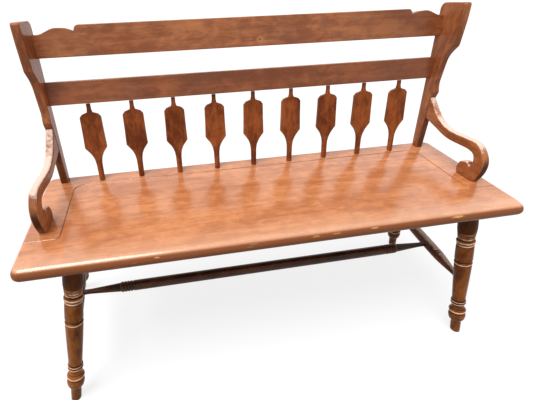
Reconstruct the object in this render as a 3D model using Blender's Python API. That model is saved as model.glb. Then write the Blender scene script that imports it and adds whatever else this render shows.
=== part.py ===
"""Arrow-back settee: a stained maple bench with turned legs, scrolled arms and nine arrow spindles.

Metres, +Z up. +X runs along the bench to the right as seen from the front, +Y runs to the back.
The origin lies on the floor under the middle of the bench's box.

Two pairs of measures are used below. The sawn side pieces are drawn in (u, v): u is the distance
back from the front line of the seat and v the height above its top. The rails are drawn in (x, s):
s is the distance up the leaning back, from the level of the seat.
"""
import math

import bmesh
import bpy
from mathutils import Matrix, Vector

# Fits
CLEARANCE = 0.0003          # gap left between touching pieces
OVERRUN = 0.004             # how far a cutter runs out past the face it opens

# Seat plank
SEAT_HEIGHT = 0.437         # floor to the top of the seat
SEAT_THICKNESS = 0.0315
SEAT_HALF_WIDTH = 0.580
SEAT_FRONT = -0.1865        # Y of the front line, from which u is measured
SEAT_NOSE = 0.003           # how far the rolled front edge stands forward of that line
SEAT_DEPTH = 0.360
SEAT_UNDERSIDE = SEAT_HEIGHT - SEAT_THICKNESS
FULLEST = 0.0165            # how far below the top the edges stand out furthest
NOSE_ROUND = (0.018, 0.016)     # how far each edge is drawn in above and below that level
SIDE_ROUND = (0.011, 0.009)
BACK_ROUND = (0.005, 0.005)
PLAN_CORNER = 0.007
SLICE_STEP = 30             # degrees of roll between the level slices of the plank
GROOVE_RADIUS = 0.0026
GROOVE_SIDE = 0.498         # X of the groove beside each arm
GROOVE_FRONT = 0.091
GROOVE_BACK = 0.312
GROOVE_TURN = 0.010
GROOVE_CORNER = 0.030

# Leaning back
LEAN = math.radians(9.65)
BACK_FOOT = 0.3485          # u of the back line where it meets the seat
RAIL_THICKNESS = 0.019
TOP_RAIL_LOW = 0.3064
TOP_RAIL_HIGH = 0.3731
MID_RAIL_LOW = 0.1990
MID_RAIL_HIGH = 0.2532
RAIL_EDGE = 0.0018
TENON_LENGTH = 0.012
TENON_THICKNESS = 0.010
TENON_SHOULDER = 0.009      # how much lower than its rail a tenon is at each edge
CREST_FALL = 0.0008         # how much the crest still falls over its last stretch to the post

# Posts and arms
POST_INSIDE = 0.518         # X of the faces that the rails stop against
BOARD_THICKNESS = 0.0195
POST_EDGE = 0.0022
ARM_EDGE = 0.0040
ARM_TOE_OUT = 0.045         # sideways run of each arm for each metre forward
ARM_JOINT = 0.336           # u of the joint of arm and post, at mid height
ARM_FOOT = 0.143            # u of the middle of the arm's foot
FOOT_TENON = (0.012, 0.015, 0.020)

# Spindles
SPINDLE_COUNT = 9
SPINDLE_PITCH = 0.1070
SPINDLE_FOOT = 0.328
SPINDLE_DEPTH = 0.014       # how deep each end is let in
SPINDLE_FOOT_RADIUS = 0.0072
SPINDLE_NECK_RADIUS = 0.0055
SPINDLE_RUN_OUT = 0.007     # how far a spindle's drill comes in from outside the wood

# Legs, given by where their axes meet the underside of the seat and the floor, as (x, u)
FRONT_LEG_TOP = (0.4703, 0.0393)
FRONT_LEG_FOOT = (0.5525, -0.0266)
REAR_LEG_TOP = (0.4803, 0.3042)
REAR_LEG_FOOT = (0.591, 0.357)
LEG_TENON_RADIUS = 0.013
LEG_TENON_LENGTH = 0.022

# Stretchers
STRETCHER_HEIGHT = 0.1880   # of all three axes above the floor
STRETCHER_TENON_RADIUS = 0.0070
STRETCHER_INSET = 0.006     # how far short of the other piece's axis a tenon ends
HOLE_RUN_OUT = 0.030        # how far a stretcher's drill comes in from outside the wood
CENTRE_STRETCHER = 0.156    # u of the stretcher between the two side ones

# Screws and plugs
SCREW_RADIUS = 0.0021
SCREW_HEAD_RADIUS = 0.0042
SCREW_LENGTH = 0.044
SCREW_SLOT = (0.0012, 0.0012)
HEAD_RIM = 0.0006           # straight rim of a head above its cone
POINT_LENGTH = 0.004
POINT_RADIUS = 0.0006
COUNTERSINK_EASE = 0.001    # how much further than the head its countersink goes
HEAD_POCKET_RADIUS = 0.0052
FOOT_POCKET_DEPTH = 0.006
BACK_POCKET_DEPTH = 0.010
BACK_SCREW_HEIGHT = 0.121
BACK_SCREW_LENGTH = 0.045
PLUG_THICKNESS = 0.005
PLUG_DOME = 0.0006          # how far a plug stands proud of the post

# Fineness
ARC_STEP = math.radians(18)
TURNED_SIDES = 14
BORE_SIDES = 12
GROOVE_SIDES = 6
SCREW_SIDES = 8

# Turned leg: (height above the floor, radius) from the seat down
LEG_PROFILE = [
    (0.4250, 0.0203), (0.3990, 0.0205), (0.3800, 0.0211), (0.3600, 0.0216), (0.3530, 0.0208),
    (0.3510, 0.0186), (0.3492, 0.0203), (0.3446, 0.0203),
    (0.3434, 0.0182), (0.3422, 0.0196), (0.3378, 0.0196),
    (0.3366, 0.0175), (0.3352, 0.0188), (0.3305, 0.0188),
    (0.3268, 0.0160), (0.3242, 0.0197), (0.3205, 0.0212), (0.3165, 0.0198),
    (0.3148, 0.0176), (0.3132, 0.0192), (0.3100, 0.0192), (0.3080, 0.0180),
    (0.3060, 0.0192), (0.2860, 0.0203), (0.2680, 0.0205), (0.2615, 0.0192),
    (0.2580, 0.0170), (0.2555, 0.0196), (0.2525, 0.0205), (0.2490, 0.0198), (0.2475, 0.0182),
    (0.2450, 0.0197), (0.2300, 0.0199), (0.2000, 0.0190), (0.1650, 0.0177), (0.1240, 0.0161),
    (0.1185, 0.0162), (0.1160, 0.0179), (0.1132, 0.0161), (0.1098, 0.0161), (0.1072, 0.0180),
    (0.1035, 0.0163), (0.0960, 0.0155), (0.0890, 0.0168),
    (0.0850, 0.0200), (0.0825, 0.0208), (0.0795, 0.0200), (0.0760, 0.0186),
    (0.0710, 0.0204), (0.0625, 0.0214), (0.0540, 0.0205), (0.0475, 0.0172), (0.0415, 0.0140),
    (0.0380, 0.0125), (0.0250, 0.0128), (0.0080, 0.0125), (-0.0200, 0.0118),
]

# Turned stretchers: (distance from the middle, radius), the same to both sides
SIDE_STRETCHER_PROFILE = [
    (0.000, 0.0150), (0.030, 0.0149), (0.058, 0.0144), (0.061, 0.0132), (0.065, 0.0143),
    (0.069, 0.0131), (0.073, 0.0139), (0.100, 0.0113), (0.125, 0.0082), (0.138, STRETCHER_TENON_RADIUS),
]
CENTRE_STRETCHER_PROFILE = [
    (0.000, 0.0148), (0.200, 0.0147), (0.378, 0.0144), (0.381, 0.0128), (0.385, 0.0146),
    (0.389, 0.0128), (0.393, 0.0146), (0.397, 0.0128), (0.401, 0.0146), (0.405, 0.0128),
    (0.409, 0.0144), (0.414, 0.0122), (0.446, 0.0102), (0.482, 0.0077), (0.494, STRETCHER_TENON_RADIUS),
]

# Arrow spindle: (distance up the spindle, half width, half thickness, squareness)
SPINDLE_SECTIONS = [
    (-SPINDLE_DEPTH, SPINDLE_FOOT_RADIUS, SPINDLE_FOOT_RADIUS, 2),
    (0.012, 0.0074, 0.0074, 2), (0.040, 0.0078, 0.0074, 2), (0.051, 0.0092, 0.0070, 2.5),
    (0.062, 0.0130, 0.0062, 4), (0.074, 0.0196, 0.0054, 7), (0.083, 0.0258, 0.0050, 9),
    (0.089, 0.0280, 0.0050, 9), (0.130, 0.0272, 0.0050, 9), (0.167, 0.0265, 0.0050, 9),
    (0.180, 0.0078, 0.0050, 5), (0.184, 0.0058, 0.0052, 2), (0.196, 0.0055, 0.0055, 2),
]
SECTION_SIDES = 12

# Ogee at each end of the top rail: (x, s, rounding) from the level stretch to the post
CREST_END = [
    (0.4235, 0.3731, 0.011), (0.4245, 0.3606, 0), (0.4420, 0.3673, 0.030),
    (0.4700, 0.3689, 0.040), (0.5010, 0.3564, 0.040),
]

# Post from its foot, up the front, over the ear and down the back: (u, v, rounding)
POST_OUTLINE = [
    (0.3260, CLEARANCE, 0), (0.3395, 0.1490, 0.003), (0.3350, 0.1660, 0.001),
    (0.3445, 0.1880, 0.040), (0.3445, 0.2600, 0.050), (0.3225, 0.2900, 0.006),
    (0.3260, 0.3500, 0.200), (0.3320, 0.3870, 0.007), (0.4140, 0.3805, 0.015),
]

# Arm from its joint with the post, over the top, round the scroll and back beneath: (u, v, rounding)
ARM_OUTLINE = [
    (0.3392, 0.1505, 0), (0.2700, 0.0900, 0.120), (0.1430, 0.0975, 0.042), (0.1065, 0.0600, 0.050),
    (0.1075, 0.0250, 0.060), (0.1165, CLEARANCE, 0), (0.1700, CLEARANCE, 0), (0.1770, 0.0120, 0.020),
    (0.1740, 0.0350, 0.014), (0.1530, 0.0420, 0.010), (0.1430, 0.0320, 0), (0.1375, 0.0480, 0.024),
    (0.1470, 0.0670, 0.018), (0.1690, 0.0705, 0.060), (0.2400, 0.0675, 0.120), (0.3335, 0.0930, 0),
]

# Colours of the finish, linear
SEAT_COLOUR = (0.46, 0.20, 0.09, 1)
FRAME_COLOUR = (0.25, 0.10, 0.045, 1)
SPINDLE_COLOUR = (0.17, 0.065, 0.03, 1)
TURNED_COLOUR = (0.15, 0.055, 0.022, 1)
STEEL_COLOUR = (0.45, 0.45, 0.46, 1)


def clear_scene():
    for thing in list(bpy.data.objects):
        bpy.data.objects.remove(thing, do_unlink=True)


def material(name, colour, roughness, metallic=0.0):
    made = bpy.data.materials.new(name)
    made.use_nodes = True
    shader = made.node_tree.nodes["Principled BSDF"]
    shader.inputs["Base Color"].default_value = colour
    shader.inputs["Roughness"].default_value = roughness
    shader.inputs["Metallic"].default_value = metallic
    return made


def add_object(name, bm, finish=None, smooth=False):
    """Turn a bmesh into an object of its own."""
    bmesh.ops.recalc_face_normals(bm, faces=bm.faces)
    mesh = bpy.data.meshes.new(name)
    bm.to_mesh(mesh)
    bm.free()
    if smooth:
        mesh.shade_smooth()
        mesh.set_sharp_from_angle(angle=math.radians(35))
    thing = bpy.data.objects.new(name, mesh)
    bpy.context.scene.collection.objects.link(thing)
    if finish:
        mesh.materials.append(finish)
    return thing


def rounded(corners):
    """Closed outline through (a, b, radius) corners, each rounded by an arc of its radius."""
    points = []
    for index, (a, b, radius) in enumerate(corners):
        corner = Vector((a, b))
        if radius == 0:
            points.append(corner)
            continue
        to_last = (Vector(corners[index - 1][:2]) - corner).normalized()
        to_next = (Vector(corners[(index + 1) % len(corners)][:2]) - corner).normalized()
        half = math.acos(to_last.dot(to_next)) / 2
        centre = corner + (to_last + to_next).normalized() * radius / math.sin(half)
        first = corner + to_last * radius / math.tan(half) - centre
        last = corner + to_next * radius / math.tan(half) - centre
        start = math.atan2(first.y, first.x)
        turn = (math.atan2(last.y, last.x) - start + math.pi) % math.tau - math.pi
        steps = max(1, math.ceil(abs(turn) / ARC_STEP))
        for step in range(steps + 1):
            angle = start + turn * step / steps
            points.append(centre + radius * Vector((math.cos(angle), math.sin(angle))))
    return points


def skin(rings):
    """Closed bmesh over rings of points, with a flat cap at each end."""
    bm = bmesh.new()
    loops = [[bm.verts.new(point) for point in ring] for ring in rings]
    count = len(loops[0])
    for below, above in zip(loops, loops[1:]):
        for i in range(count):
            j = (i + 1) % count
            bm.faces.new((below[i], below[j], above[j], above[i]))
    bm.faces.new(loops[0])
    bm.faces.new(loops[-1])
    return bm


def board(name, outline, thickness, finish, edge, across="X"):
    """Board sawn to an outline, with its edges eased."""
    if across == "X":
        rings = [[(side * thickness / 2, a, b) for a, b in outline] for side in (-1, 1)]
    else:
        rings = [[(a, y, b) for a, b in outline] for y in (-thickness, 0)]
    thing = add_object(name, skin(rings), finish, smooth=True)
    eased = thing.modifiers.new("eased_edges", "BEVEL")
    eased.width = edge
    eased.segments = 2
    eased.limit_method = "ANGLE"
    eased.angle_limit = math.radians(50)
    return thing


def turned(name, profile, start, end, finish=None, sides=TURNED_SIDES):
    """Turned piece along the line from start to end, from (distance along it, radius) pairs."""
    turns = [math.tau * i / sides for i in range(sides)]
    rings = [[(r * math.cos(t), r * math.sin(t), h) for t in turns] for h, r in profile]
    thing = add_object(name, skin(rings), finish, smooth=True)
    thing.rotation_mode = "QUATERNION"
    thing.location = start
    thing.rotation_quaternion = (end - start).to_track_quat("Z", "Y")
    return thing


def block(name, size, centre):
    bm = bmesh.new()
    bmesh.ops.create_cube(bm, size=1, matrix=Matrix.Diagonal((*size, 1)))
    thing = add_object(name, bm)
    thing.location = centre
    return thing


def combine(target, operation, pieces):
    """Cut pieces out of the target, or join them on, and keep them as hidden guides."""
    group = bpy.data.collections.new(f"{target.name}_{operation.lower()}")
    bpy.context.scene.collection.children.link(group)
    for piece in pieces:
        group.objects.link(piece)
        bpy.context.scene.collection.objects.unlink(piece)
        piece.hide_render = True
        piece.display_type = "WIRE"
    change = target.modifiers.new(operation.lower(), "BOOLEAN")
    change.operation = operation
    change.solver = "EXACT"
    change.operand_type = "COLLECTION"
    change.collection = group


def bore(name, start, end, radius, sides=BORE_SIDES):
    """Round cutter from start to end."""
    return turned(name, [(0, radius), ((end - start).length, radius)], start, end, sides=sides)


def place(x, u, height):
    """World point from x, the distance back from the seat's front line and the height."""
    return Vector((x, SEAT_FRONT + u, height))


def seat_point(x, u, v=0.0):
    """World point from x, u and the height above the seat."""
    return place(x, u, SEAT_HEIGHT + v)


def leg_axis(x_side, top, foot):
    """Ends of a leg's axis: where it meets the underside of the seat, and the floor."""
    return place(x_side * top[0], top[1], SEAT_UNDERSIDE), place(x_side * foot[0], foot[1], 0)


def at_height(axis, height):
    """Point of an axis at a height above the floor."""
    top, foot = axis
    return foot.lerp(top, (height - foot.z) / (top.z - foot.z))


def trimmed_lathe(profile, axis, finish, name):
    """Turned leg whose top is cut level under the seat and whose foot is cut level on the floor."""
    top, foot = axis
    stretch = (top - foot).length / (top.z - foot.z)
    leg = turned(name, [(h * stretch, r) for h, r in reversed(profile)], foot, top, finish)
    into_leg = Matrix.LocRotScale(foot, leg.rotation_quaternion, None).inverted()
    up = into_leg.to_3x3() @ Vector((0, 0, 1))
    bm = bmesh.new()
    bm.from_mesh(leg.data)
    for height, outward in ((SEAT_UNDERSIDE - CLEARANCE, up), (0, -up)):
        plane = into_leg @ Vector((foot.x, foot.y, height))
        everything = bm.verts[:] + bm.edges[:] + bm.faces[:]
        cut = bmesh.ops.bisect_plane(bm, geom=everything, plane_co=plane, plane_no=outward,
                                     clear_outer=True)
        rim = [part for part in cut["geom_cut"] if isinstance(part, bmesh.types.BMEdge)]
        bmesh.ops.edgeloop_fill(bm, edges=rim)
    bmesh.ops.recalc_face_normals(bm, faces=bm.faces)
    bm.to_mesh(leg.data)
    bm.free()
    return leg


def mirrored_profile(half, half_length):
    """Whole stretcher profile from its middle-to-end half, with plain tenons out to the ends."""
    ended = half + [(half_length, STRETCHER_TENON_RADIUS)]
    first_half = [(half_length - d, r) for d, r in reversed(ended)]
    return first_half + [(half_length + d, r) for d, r in ended[1:]]


def make_seat(finish):
    """Plank whose front rolls over, drawn as level slices from the underside to the top."""
    slices = []
    for turn in range(-90, 91, SLICE_STEP):
        angle = math.radians(turn)
        below = 1 if turn < 0 else 0
        draw_in = 1 - math.cos(angle)
        half = SEAT_HALF_WIDTH - SIDE_ROUND[below] * draw_in
        front = NOSE_ROUND[below] * draw_in - SEAT_NOSE
        back = SEAT_DEPTH - BACK_ROUND[below] * draw_in
        plan = rounded([(-half, front, PLAN_CORNER), (half, front, PLAN_CORNER),
                        (half, back, PLAN_CORNER), (-half, back, PLAN_CORNER)])
        reach = SEAT_THICKNESS - FULLEST if below else FULLEST
        height = reach * math.sin(angle) - FULLEST
        slices.append([seat_point(x, u, height) for x, u in plan])
    return add_object("seat", skin(slices), finish, smooth=True)


def groove_path():
    """Line of the incised groove, from one end of the seat round the back to the other."""
    out = SEAT_HALF_WIDTH + OVERRUN
    return rounded([(-out, GROOVE_FRONT, 0), (-GROOVE_SIDE, GROOVE_FRONT, GROOVE_TURN),
                    (-GROOVE_SIDE, GROOVE_BACK, GROOVE_CORNER), (GROOVE_SIDE, GROOVE_BACK, GROOVE_CORNER),
                    (GROOVE_SIDE, GROOVE_FRONT, GROOVE_TURN), (out, GROOVE_FRONT, 0)])


def groove_cutter():
    """Round-bottomed cutter swept along the groove."""
    path = groove_path()
    rings = []
    for i, point in enumerate(path):
        before = path[max(i - 1, 0)]
        after = path[min(i + 1, len(path) - 1)]
        ahead = (after - before).normalized()
        aside = Vector((-ahead.y, ahead.x))
        ring = []
        for step in range(GROOVE_SIDES):
            angle = math.tau * step / GROOVE_SIDES
            off = point + aside * GROOVE_RADIUS * math.cos(angle)
            ring.append(seat_point(off.x, off.y, GROOVE_RADIUS * math.sin(angle)))
        rings.append(ring)
    return add_object("groove_cutter", skin(rings))


def make_legs(finish, seat_cuts):
    """Four splayed legs, each with a round tenon let into the seat."""
    axes = {}
    ends = {"front": (FRONT_LEG_TOP, FRONT_LEG_FOOT), "rear": (REAR_LEG_TOP, REAR_LEG_FOOT)}
    corners = [(row, hand, side) for row in ends for hand, side in (("left", -1), ("right", 1))]
    for row, hand, side in corners:
        corner = f"{row}_{hand}"
        axis = leg_axis(side, *ends[row])
        leg = trimmed_lathe(LEG_PROFILE, axis, finish, f"{corner}_leg")
        upward = (axis[0] - axis[1]).normalized()
        tenon_low = axis[0] - upward * LEG_TENON_LENGTH
        tenon_top = axis[0] + upward * LEG_TENON_LENGTH
        tenon = bore(f"{corner}_tenon", tenon_low, tenon_top, LEG_TENON_RADIUS)
        combine(leg, "UNION", [tenon])
        socket_top = tenon_top + upward * CLEARANCE
        socket = bore(f"{corner}_socket", tenon_low, socket_top, LEG_TENON_RADIUS + CLEARANCE)
        seat_cuts.append(socket)
        axes[corner] = (leg, axis)
    return axes


def make_stretchers(finish, legs):
    """Two side stretchers between the legs, and one between those two."""
    side_middles = {}
    for name, side in (("left", -1), ("right", 1)):
        front_leg, front_axis = legs[f"front_{name}"]
        rear_leg, rear_axis = legs[f"rear_{name}"]
        front = at_height(front_axis, STRETCHER_HEIGHT)
        rear = at_height(rear_axis, STRETCHER_HEIGHT)
        along = (rear - front).normalized()
        start = front + along * STRETCHER_INSET
        end = rear - along * STRETCHER_INSET
        half_length = (end - start).length / 2
        stretcher = turned(f"{name}_stretcher", mirrored_profile(SIDE_STRETCHER_PROFILE, half_length),
                           start, end, finish)
        for leg, tip, inward in ((front_leg, start, along), (rear_leg, end, -along)):
            hole = bore(f"{leg.name}_hole", tip - inward * CLEARANCE, tip + inward * HOLE_RUN_OUT,
                        STRETCHER_TENON_RADIUS + CLEARANCE)
            combine(leg, "DIFFERENCE", [hole])
        reach = (SEAT_FRONT + CENTRE_STRETCHER - front.y) / (rear.y - front.y)
        side_middles[side] = (stretcher, front.lerp(rear, reach))
    left, right = side_middles[-1][1], side_middles[1][1]
    start = left + Vector((STRETCHER_INSET, 0, 0))
    end = right - Vector((STRETCHER_INSET, 0, 0))
    half_length = (end - start).length / 2
    profile = mirrored_profile(CENTRE_STRETCHER_PROFILE, half_length)
    turned("centre_stretcher", profile, start, end, finish)
    for side, tip in ((-1, start), (1, end)):
        outward = Vector((side, 0, 0))
        hole = bore(f"stretcher_hole_{side}", tip + outward * CLEARANCE, tip - outward * HOLE_RUN_OUT,
                    STRETCHER_TENON_RADIUS + CLEARANCE)
        combine(side_middles[side][0], "DIFFERENCE", [hole])


def rail_outline(low, high, ends=()):
    """Outline of a rail that stops against both posts, with shaped ends to its top edge."""
    half = POST_INSIDE - CLEARANCE
    tip = ends[-1][1] - CREST_FALL if ends else high
    right = [(x, s, radius) for x, s, radius in ends] + [(half, tip, 0), (half, low, 0)]
    left = [(-x, s, radius) for x, s, radius in reversed(right)]
    return rounded(right + left)


def on_back(thing):
    """Lay a piece drawn in (x, s) on the leaning back."""
    thing.location = seat_point(0, BACK_FOOT)
    thing.rotation_euler.x = -LEAN
    return thing


def rail_tenon(name, side, low, high, extra):
    """Tenon at one end of a rail, or the mortise for it when extra is above nothing."""
    inside = POST_INSIDE - OVERRUN
    outside = POST_INSIDE + TENON_LENGTH + extra
    size = (outside - inside, TENON_THICKNESS + 2 * extra, high - low - 2 * TENON_SHOULDER + 2 * extra)
    piece = block(name, size, (0, 0, 0))
    middle = Vector((side * (inside + outside) / 2, -RAIL_THICKNESS / 2, (low + high) / 2))
    piece.data.transform(Matrix.Translation(middle))
    return on_back(piece)


def make_rails(finish, post_cuts):
    """Top rail with its shaped ends, and the plain rail that holds the spindles."""
    rails = {}
    sizes = (("top_rail", TOP_RAIL_LOW, TOP_RAIL_HIGH, CREST_END),
             ("mid_rail", MID_RAIL_LOW, MID_RAIL_HIGH, ()))
    for name, low, high, ends in sizes:
        outline = rail_outline(low, high, ends)
        rail = on_back(board(name, outline, RAIL_THICKNESS, finish, RAIL_EDGE, across="Y"))
        tenon_top = min(high, ends[-1][1]) if ends else high
        tenons = [rail_tenon(f"{name}_tenon_{side}", side, low, tenon_top, 0) for side in (-1, 1)]
        combine(rail, "UNION", tenons)
        for side in (-1, 1):
            post_cuts[side].append(rail_tenon(f"{name}_mortise_{side}", side, low, tenon_top, CLEARANCE))
        rails[name] = rail
    return rails


def make_posts(finish, seat_cuts, post_cuts):
    """Two sawn posts with a forward-leaning ear at the top, each tenoned into the seat."""
    foot_back = (BACK_FOOT + CLEARANCE * math.tan(LEAN), CLEARANCE, 0)
    outline = rounded(POST_OUTLINE + [foot_back])
    width, depth, length = FOOT_TENON
    middle_u = (POST_OUTLINE[0][0] + BACK_FOOT) / 2
    for name, side in (("left", -1), ("right", 1)):
        x = side * (POST_INSIDE + BOARD_THICKNESS / 2)
        post = board(f"{name}_post", outline, BOARD_THICKNESS, finish, POST_EDGE)
        post.location = seat_point(x, 0)
        tenon = block(f"{name}_foot_tenon", (width, depth, length + OVERRUN),
                      seat_point(x, middle_u, (OVERRUN - length) / 2))
        combine(post, "UNION", [tenon])
        combine(post, "DIFFERENCE", post_cuts[side])
        socket = block(f"{name}_foot_socket",
                       (width + 2 * CLEARANCE, depth + 2 * CLEARANCE, length + CLEARANCE + OVERRUN),
                       seat_point(x, middle_u, (OVERRUN - length - CLEARANCE) / 2))
        seat_cuts.append(socket)


def arm_x(side, u):
    """X of the middle of an arm, which runs a little outwards towards the front."""
    return side * (POST_INSIDE + BOARD_THICKNESS / 2 + ARM_TOE_OUT * (ARM_JOINT - u))


def make_arms(finish, screw_finish, seat_cuts, post_cuts):
    """Two scrolled arms, each screwed up through the seat and forwards through its post."""
    outline = rounded(ARM_OUTLINE)
    for name, side in (("left", -1), ("right", 1)):
        arm = board(f"{name}_arm", outline, BOARD_THICKNESS, finish, ARM_EDGE)
        arm.location = seat_point(0, 0)
        for vertex in arm.data.vertices:
            vertex.co.x += arm_x(side, vertex.co.y)
        foot_head = place(arm_x(side, ARM_FOOT), ARM_FOOT, SEAT_UNDERSIDE + FOOT_POCKET_DEPTH)
        holes = [make_screw(f"{name}_arm_foot_screw", foot_head, Vector((0, 0, 1)), SCREW_LENGTH,
                            FOOT_POCKET_DEPTH, screw_finish, seat_cuts)]
        back_u = BACK_FOOT + BACK_SCREW_HEIGHT * math.tan(LEAN)
        back_face = seat_point(arm_x(side, ARM_JOINT), back_u, BACK_SCREW_HEIGHT)
        inward = Vector((0, -math.cos(LEAN), math.sin(LEAN)))
        holes.append(make_screw(f"{name}_arm_back_screw", back_face + inward * BACK_POCKET_DEPTH, inward,
                                BACK_SCREW_LENGTH, BACK_POCKET_DEPTH, screw_finish, post_cuts[side]))
        combine(arm, "DIFFERENCE", holes)
        plug_end = back_face + inward * PLUG_THICKNESS
        plug_radius = HEAD_POCKET_RADIUS - CLEARANCE
        plug = [(0, plug_radius), (PLUG_THICKNESS, plug_radius),
                (PLUG_THICKNESS + PLUG_DOME, plug_radius - 2 * PLUG_DOME)]
        turned(f"{name}_arm_plug", plug, plug_end, back_face, finish, sides=BORE_SIDES)


def make_screw(name, head, ahead, length, pocket_depth, finish, cuts):
    """Slotted countersunk screw. Its pocket is added to cuts, and its pilot hole is returned."""
    cone = SCREW_HEAD_RADIUS - SCREW_RADIUS
    shape = [(0, SCREW_HEAD_RADIUS), (HEAD_RIM, SCREW_HEAD_RADIUS), (cone + HEAD_RIM, SCREW_RADIUS),
             (length - POINT_LENGTH, SCREW_RADIUS), (length, POINT_RADIUS)]
    screw = turned(name, shape, head, head + ahead * length, finish, sides=SCREW_SIDES)
    wide, deep = SCREW_SLOT
    slot = block(f"{name}_slot", (wide, 4 * SCREW_HEAD_RADIUS, 2 * deep), head)
    slot.rotation_mode = "QUATERNION"
    slot.rotation_quaternion = screw.rotation_quaternion
    combine(screw, "DIFFERENCE", [slot])
    back = head - ahead * (pocket_depth + OVERRUN)
    run_in = pocket_depth + OVERRUN
    hole_radius = SCREW_RADIUS + CLEARANCE
    pocket_shape = [(0, HEAD_POCKET_RADIUS), (run_in + HEAD_RIM, HEAD_POCKET_RADIUS),
                    (run_in + cone + HEAD_RIM + COUNTERSINK_EASE, hole_radius),
                    (run_in + length + CLEARANCE, hole_radius)]
    cuts.append(turned(f"{name}_pocket", pocket_shape, back, head, sides=BORE_SIDES))
    tip = head + ahead * (length + CLEARANCE)
    return bore(f"{name}_pilot", head, tip, hole_radius, SCREW_SIDES)


def superellipse(half_width, half_thickness, squareness, height):
    """Ring of points that goes from round at 2 to nearly square at high values."""
    ring = []
    power = 2 / squareness
    for step in range(SECTION_SIDES):
        angle = math.tau * (step + 0.5) / SECTION_SIDES
        c, s = math.cos(angle), math.sin(angle)
        ring.append((half_width * math.copysign(abs(c) ** power, c),
                     half_thickness * math.copysign(abs(s) ** power, s), height))
    return ring


def make_spindles(finish, seat_cuts, rail):
    """Nine arrow spindles, let into the seat and into the lower edge of the rail above."""
    rail_middle = RAIL_THICKNESS / 2 / math.cos(LEAN)
    top_u = BACK_FOOT + MID_RAIL_LOW * math.sin(LEAN) - rail_middle
    top_v = MID_RAIL_LOW * math.cos(LEAN)
    rise = Vector((0, top_u - SPINDLE_FOOT, top_v))
    length = rise.length
    tip = (length + SPINDLE_DEPTH - CLEARANCE, SPINDLE_NECK_RADIUS, SPINDLE_NECK_RADIUS, 2)
    sections = SPINDLE_SECTIONS + [tip]
    rings = [superellipse(wide, thick, square, up) for up, wide, thick, square in sections]
    rail_holes = []
    for number in range(SPINDLE_COUNT):
        x = (number - (SPINDLE_COUNT - 1) / 2) * SPINDLE_PITCH
        foot = seat_point(x, SPINDLE_FOOT)
        spindle = add_object(f"spindle_{number + 1}", skin(rings), finish, smooth=True)
        spindle.location = foot
        spindle.rotation_euler.x = -math.atan2(rise.y, rise.z)
        along = rise.normalized()
        hole_end = foot - along * (SPINDLE_DEPTH + CLEARANCE)
        seat_cuts.append(bore(f"spindle_{number + 1}_seat_hole", hole_end,
                              foot + along * SPINDLE_RUN_OUT, SPINDLE_FOOT_RADIUS + 2 * CLEARANCE))
        head = foot + rise
        rail_holes.append(bore(f"spindle_{number + 1}_rail_hole", head - along * SPINDLE_RUN_OUT,
                               head + along * SPINDLE_DEPTH, SPINDLE_NECK_RADIUS + CLEARANCE))
    combine(rail, "DIFFERENCE", rail_holes)


clear_scene()
seat_finish = material("stained_maple_seat", SEAT_COLOUR, 0.22)
frame_finish = material("stained_maple_frame", FRAME_COLOUR, 0.28)
spindle_finish = material("stained_maple_spindles", SPINDLE_COLOUR, 0.30)
turned_finish = material("stained_maple_turned", TURNED_COLOUR, 0.28)
steel = material("zinc_plated_steel", STEEL_COLOUR, 0.35, metallic=1.0)

cuts_in_seat = [groove_cutter()]
cuts_in_posts = {-1: [], 1: []}
seat = make_seat(seat_finish)
legs = make_legs(turned_finish, cuts_in_seat)
make_stretchers(turned_finish, legs)
rails = make_rails(frame_finish, cuts_in_posts)
make_arms(frame_finish, steel, cuts_in_seat, cuts_in_posts)
make_posts(frame_finish, cuts_in_seat, cuts_in_posts)
make_spindles(spindle_finish, cuts_in_seat, rails["mid_rail"])
combine(seat, "DIFFERENCE", cuts_in_seat)
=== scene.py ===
import math

import bpy
from mathutils import Euler, Matrix, Vector


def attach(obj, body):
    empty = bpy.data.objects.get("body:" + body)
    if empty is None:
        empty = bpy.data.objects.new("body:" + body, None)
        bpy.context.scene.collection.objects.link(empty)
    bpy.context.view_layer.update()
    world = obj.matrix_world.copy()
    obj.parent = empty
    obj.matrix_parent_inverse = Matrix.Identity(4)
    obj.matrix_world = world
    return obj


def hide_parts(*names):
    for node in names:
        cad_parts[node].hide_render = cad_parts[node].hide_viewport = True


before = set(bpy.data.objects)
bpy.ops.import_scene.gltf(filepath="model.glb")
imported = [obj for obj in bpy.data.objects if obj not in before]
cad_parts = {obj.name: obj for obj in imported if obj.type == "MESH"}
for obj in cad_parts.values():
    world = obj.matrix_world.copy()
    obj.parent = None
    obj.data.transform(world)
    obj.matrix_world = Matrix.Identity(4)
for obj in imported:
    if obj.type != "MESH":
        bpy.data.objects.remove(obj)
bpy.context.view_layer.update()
scene = bpy.context.scene
scene.view_settings.view_transform = "Standard"


# ---------------------------------------------------------------------------------------------
# Seat plank. One wide plank of maple, glued up from boards that run the length of the bench. Its
# front edge is rolled over, its ends and back are eased, and a fine round groove is routed into
# the top: in from each end, back inside the arm, and along the back in front of the spindles.
# ---------------------------------------------------------------------------------------------
SEAT_TOP = 0.437
SEAT_THICKNESS = 0.0315
SEAT_UNDERSIDE = SEAT_TOP - SEAT_THICKNESS
SEAT_HALF_WIDTH = 0.580
SEAT_FRONT = -0.1865        # Y of the front line, from which u is measured towards the back
NOSE = -0.003               # u of the rolled front edge at its fullest
SEAT_DEPTH = 0.360
FULLEST = 0.0165            # how far below the top the edges stand out furthest
NOSE_ROUND = (0.018, 0.016)     # how far each edge is drawn in above and below that level
END_ROUND = (0.011, 0.009)
BACK_ROUND = (0.005, 0.005)
SEAT_CORNER = 0.016
GROOVE_RADIUS = 0.0017
GROOVE_SIDE = 0.498
GROOVE_FRONT = 0.091
GROOVE_BACK = 0.312
GROOVE_FRONT_CORNER = 0.010
GROOVE_BACK_CORNER = 0.030
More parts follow.
